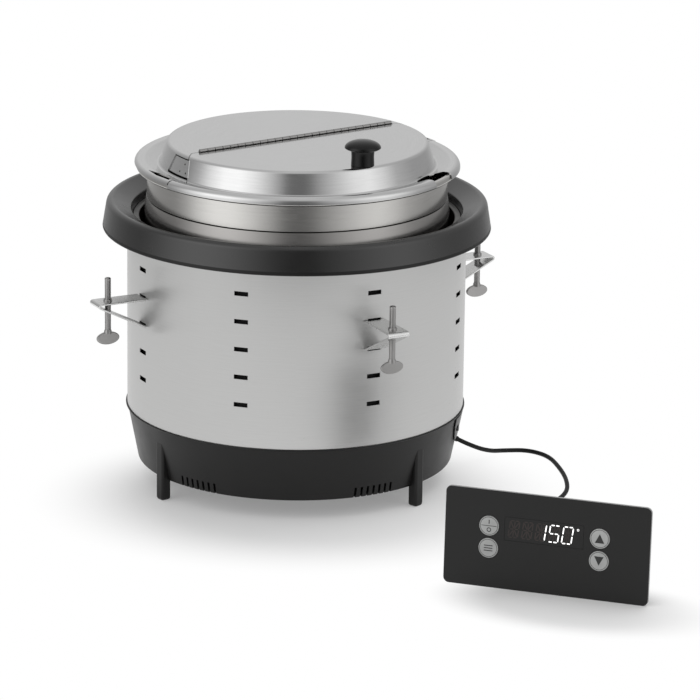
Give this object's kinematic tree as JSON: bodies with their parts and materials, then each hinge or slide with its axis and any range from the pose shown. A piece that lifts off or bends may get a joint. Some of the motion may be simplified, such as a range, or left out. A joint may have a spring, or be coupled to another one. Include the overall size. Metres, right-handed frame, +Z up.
{
  "type": "soup kettle",
  "caption": "Drop-in round soup kettle with a flange ring, slotted steel shell, worktop clamps, loose pot, hinged split lid and a remote control panel on a thin cable.",
  "frame": {"origin": "on the floor under the kettle's axis, in the plane of the four feet", "axes": "+Z up along the kettle's axis, -Y towards the pictured front, +X to the right"},
  "size_m": [0.4834, 0.544, 0.332],
  "materials": {
    "black_ring": "satin moulded",
    "black_base": "satin moulded",
    "shell_steel": "brushed round the shell",
    "pot_steel": "satin spun",
    "lid_steel": "satin spun",
    "hardware_steel": "bright zinc",
    "liner_steel": "plain",
    "knob_black": "gloss moulded",
    "panel_black": "fine satin",
    "housing_black": "satin moulded",
    "window_black": "clear dark pane",
    "button_grey": "satin",
    "glass_black": "ceramic glass",
    "wool": "black-faced mineral wool",
    "copper": "enamelled wire",
    "ferrite": "sintered",
    "board_green": "laminate",
    "former_grey": "moulded",
    "sink_aluminium": "extruded",
    "fan_black": "moulded",
    "rubber_black": "matt"
  },
  "bodies": {
    "kettle": {"top_ring": "black_ring", "outer_shell": "shell_steel", "base_tray": "black_base", "feet": "black_base", "bottom_cover": "black_base", "terminal_cover": "black_base", "terminal_cover_screws": "hardware_steel", "cover_screws": "hardware_steel", "well_liner": "liner_steel", "well_floor": "glass_black", "insulation_sleeve": "wool", "coil_former": "former_grey", "induction_coil": "copper", "ferrite_bars": "ferrite", "temperature_sensor": "former_grey", "power_board": "board_green", "board_standoffs": "former_grey", "heat_sink": "sink_aluminium", "fan_frame": "fan_black", "mains_gland": "rubber_black", "cable_grommet": "rubber_black", "clamp_nuts": "hardware_steel", "panel_faceplate": "panel_black", "panel_housing": "housing_black", "display_window": "window_black", "display_module": "housing_black", "panel_board": "board_green", "tact_switches": "housing_black", "panel_screws": "hardware_steel", "panel_grommet": "rubber_black", "control_cable": "rubber_black", "clamp_bracket_1": "hardware_steel", "clamp_bracket_2": "hardware_steel", "clamp_bracket_3": "hardware_steel", "clamp_bracket_4": "hardware_steel"},
    "pot": {"inset_pot": "pot_steel"},
    "lid": {"lid_rear": "lid_steel", "lid_joint_strips": "lid_steel", "hinge_leaf_rear": "lid_steel", "hinge_pin": "hardware_steel"},
    "flap": {"lid_flap": "lid_steel", "hinge_leaf_flap": "lid_steel", "lid_knob": "knob_black", "knob_screw": "hardware_steel"},
    "fan": {"fan_rotor": "fan_black"},
    "clamp_screw_1": {"clamp_screw_1": "hardware_steel"},
    "clamp_screw_2": {"clamp_screw_2": "hardware_steel"},
    "clamp_screw_3": {"clamp_screw_3": "hardware_steel"},
    "clamp_screw_4": {"clamp_screw_4": "hardware_steel"},
    "power_button": {"power_button": "button_grey"},
    "function_button": {"function_button": "button_grey"},
    "up_button": {"up_button": "button_grey"},
    "down_button": {"down_button": "button_grey"}
  },
  "joints": [
    {"name": "pot_lift", "type": "slide", "parent": "kettle", "child": "pot", "axis": [0, 0, 1], "range_m": [0, 0.25]},
    {"name": "lid_lift", "type": "slide", "parent": "pot", "child": "lid", "axis": [0, 0, 1], "range_m": [0, 0.15]},
    {"name": "flap_hinge", "type": "hinge", "parent": "lid", "child": "flap", "pos_m": [-0.00393, 0.00579, 0.3089], "axis": [-0.8271, -0.5621, 0], "range_deg": [0, 155]},
    {"name": "fan_spin", "type": "hinge", "parent": "kettle", "child": "fan", "pos_m": [-0.055, 0.045, 0.03], "axis": [0, 0, 1], "continuous": true},
    {"name": "clamp_screw_1_travel", "type": "slide", "parent": "kettle", "child": "clamp_screw_1", "axis": [0, 0, 1], "range_m": [-0.014, 0.0125]},
    {"name": "clamp_screw_2_travel", "type": "slide", "parent": "kettle", "child": "clamp_screw_2", "axis": [0, 0, 1], "range_m": [-0.014, 0.0125]},
    {"name": "clamp_screw_3_travel", "type": "slide", "parent": "kettle", "child": "clamp_screw_3", "axis": [0, 0, 1], "range_m": [-0.014, 0.0125]},
    {"name": "clamp_screw_4_travel", "type": "slide", "parent": "kettle", "child": "clamp_screw_4", "axis": [0, 0, 1], "range_m": [-0.014, 0.0125]},
    {"name": "power_button_press", "type": "slide", "parent": "kettle", "child": "power_button", "axis": [0.3267, 0.9434, -0.0564], "range_m": [0, 0.0006], "stiffness_N_per_m": 1500},
    {"name": "function_button_press", "type": "slide", "parent": "kettle", "child": "function_button", "axis": [0.3267, 0.9434, -0.0564], "range_m": [0, 0.0006], "stiffness_N_per_m": 1500},
    {"name": "up_button_press", "type": "slide", "parent": "kettle", "child": "up_button", "axis": [0.3267, 0.9434, -0.0564], "range_m": [0, 0.0006], "stiffness_N_per_m": 1500},
    {"name": "down_button_press", "type": "slide", "parent": "kettle", "child": "down_button", "axis": [0.3267, 0.9434, -0.0564], "range_m": [0, 0.0006], "stiffness_N_per_m": 1500}
  ]
}
